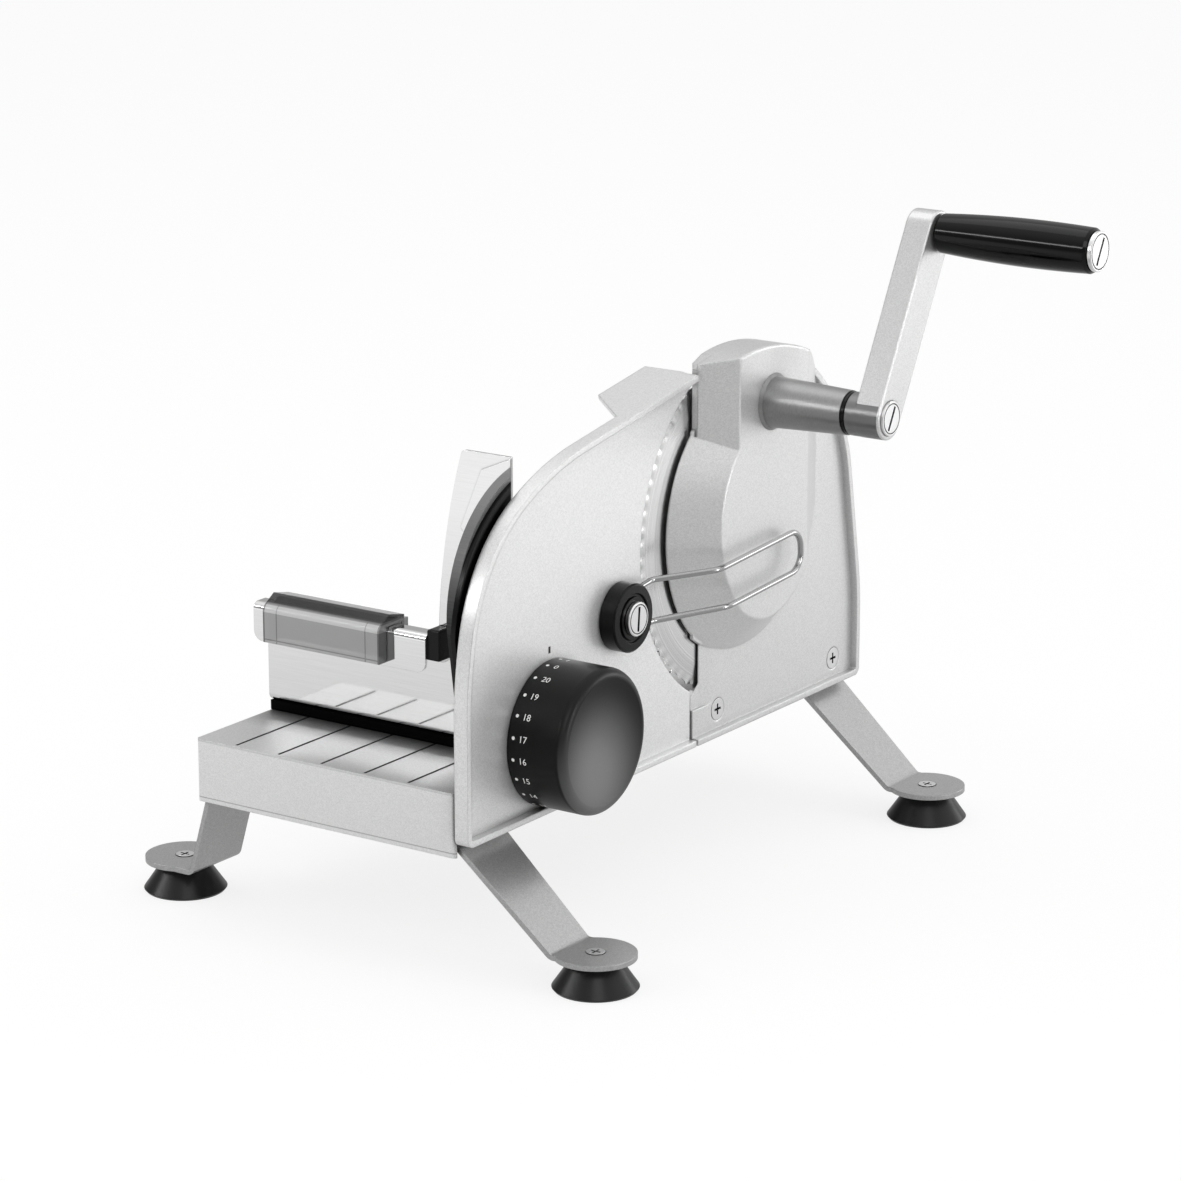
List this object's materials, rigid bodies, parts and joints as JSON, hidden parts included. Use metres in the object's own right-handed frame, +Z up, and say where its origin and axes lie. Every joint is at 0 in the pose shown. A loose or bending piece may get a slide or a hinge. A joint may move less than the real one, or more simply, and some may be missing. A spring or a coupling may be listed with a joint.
{
  "type": "manual food slicer",
  "caption": "Hand cranked table slicer: a round wavy blade in a gear case, a stop plate set by a dial, and a sliding carriage with a remnant holder.",
  "frame": {"origin": "on the surface that the slicer stands on, under the middle of its overall length and depth", "axes": "+X along the stop plate towards the gear case, +Y from the crank side to the food side, +Z up"},
  "size_m": [0.34, 0.3695, 0.32],
  "materials": {
    "silver_paint": "silver paint, satin, on cast aluminium",
    "bare_aluminium": "satin, lightly brushed",
    "leg_steel": "silver paint on bent steel strip",
    "polished_steel": "polished stainless steel sheet",
    "blade_steel": "polished stainless steel with a ground bevel",
    "machined_steel": "turned bright steel",
    "bright_steel": "bright plated steel",
    "black_plastic": "glossy black phenolic plastic",
    "matte_black_plastic": "matte black plastic",
    "white_nylon": "natural nylon",
    "bush_plastic": "black bearing plastic",
    "smoky_plastic": "smoky translucent plastic",
    "foot_rubber": "black rubber"
  },
  "bodies": {
    "frame": {"table": "bare_aluminium", "leg_bracket_left": "leg_steel", "leg_bracket_right": "leg_steel", "suction_foot_front_left": "foot_rubber", "suction_foot_front_right": "foot_rubber", "suction_foot_rear_left": "foot_rubber", "suction_foot_rear_right": "foot_rubber", "foot_screws": "bright_steel", "gear_case": "silver_paint", "case_screws": "bright_steel", "case_nuts": "machined_steel", "bearing_tube": "bright_steel", "inner_shaft_bush": "bush_plastic", "outer_shaft_bush": "bush_plastic", "blade_axle": "machined_steel", "axle_clip": "machined_steel", "guide_block_left": "bare_aluminium", "guide_block_right": "bare_aluminium", "cam_follower": "machined_steel"},
    "crank": {"crank_shaft": "machined_steel", "crank_pinion": "machined_steel", "pinion_clip": "machined_steel", "crank_arm": "silver_paint", "crank_screw": "bright_steel", "handle_pin": "bright_steel"},
    "handle": {"handle_grip": "black_plastic"},
    "cutter": {"blade": "blade_steel", "blade_gear": "white_nylon", "blade_bush": "bush_plastic", "blade_bolt": "machined_steel"},
    "stop": {"stop_plate": "silver_paint", "guide_rod_left": "machined_steel", "guide_rod_right": "machined_steel", "deflector_screw": "bright_steel"},
    "setting_knob": {"thickness_knob": "matte_black_plastic", "knob_bolt": "machined_steel"},
    "deflector": {"deflector_base": "matte_black_plastic", "deflector_wire": "bright_steel"},
    "slide_carriage": {"carriage": "polished_steel", "guard_liner": "matte_black_plastic", "lip_end_block": "matte_black_plastic", "carriage_runners": "matte_black_plastic", "carriage_slider": "matte_black_plastic", "slider_screws": "bright_steel"},
    "holder": {"holder_sleeve": "smoky_plastic", "holder_plate": "smoky_plastic"}
  },
  "joints": [
    {"name": "crank_turn", "type": "hinge", "parent": "frame", "child": "crank", "pos_m": [0.061, -0.055, 0.2263], "axis": [0, 1, 0], "continuous": true},
    {"name": "blade_spin", "type": "hinge", "parent": "frame", "child": "cutter", "pos_m": [0.061, -0.015, 0.1643], "axis": [0, 1, 0], "continuous": true},
    {"name": "handle_spin", "type": "hinge", "parent": "crank", "child": "handle", "pos_m": [0.10523, -0.135, 0.30845], "axis": [0, 1, 0], "continuous": true},
    {"name": "thickness_knob_turn", "type": "hinge", "parent": "stop", "child": "setting_knob", "pos_m": [-0.1013, -0.025, 0.0987], "axis": [0, -1, 0], "range_deg": [0, 342.86]},
    {"name": "stop_plate_slide", "type": "slide", "parent": "frame", "child": "stop", "axis": [0, -1, 0], "range_m": [0, 0.02]},
    {"name": "deflector_swing", "type": "hinge", "parent": "stop", "child": "deflector", "pos_m": [-0.0452, -0.021, 0.1411], "axis": [0, 1, 0], "range_deg": [-30, 25]},
    {"name": "carriage_slide", "type": "slide", "parent": "frame", "child": "slide_carriage", "axis": [1, 0, 0], "range_m": [0, 0.15]},
    {"name": "holder_slide", "type": "slide", "parent": "slide_carriage", "child": "holder", "axis": [0, 1, 0], "range_m": [-0.021, 0.01]}
  ],
  "couplings": [
    {"joint": "blade_spin", "follows": "crank_turn", "ratio": -0.47619},
    {"joint": "thickness_knob_turn", "follows": "stop_plate_slide", "rad_per_m": 299.2}
  ]
}
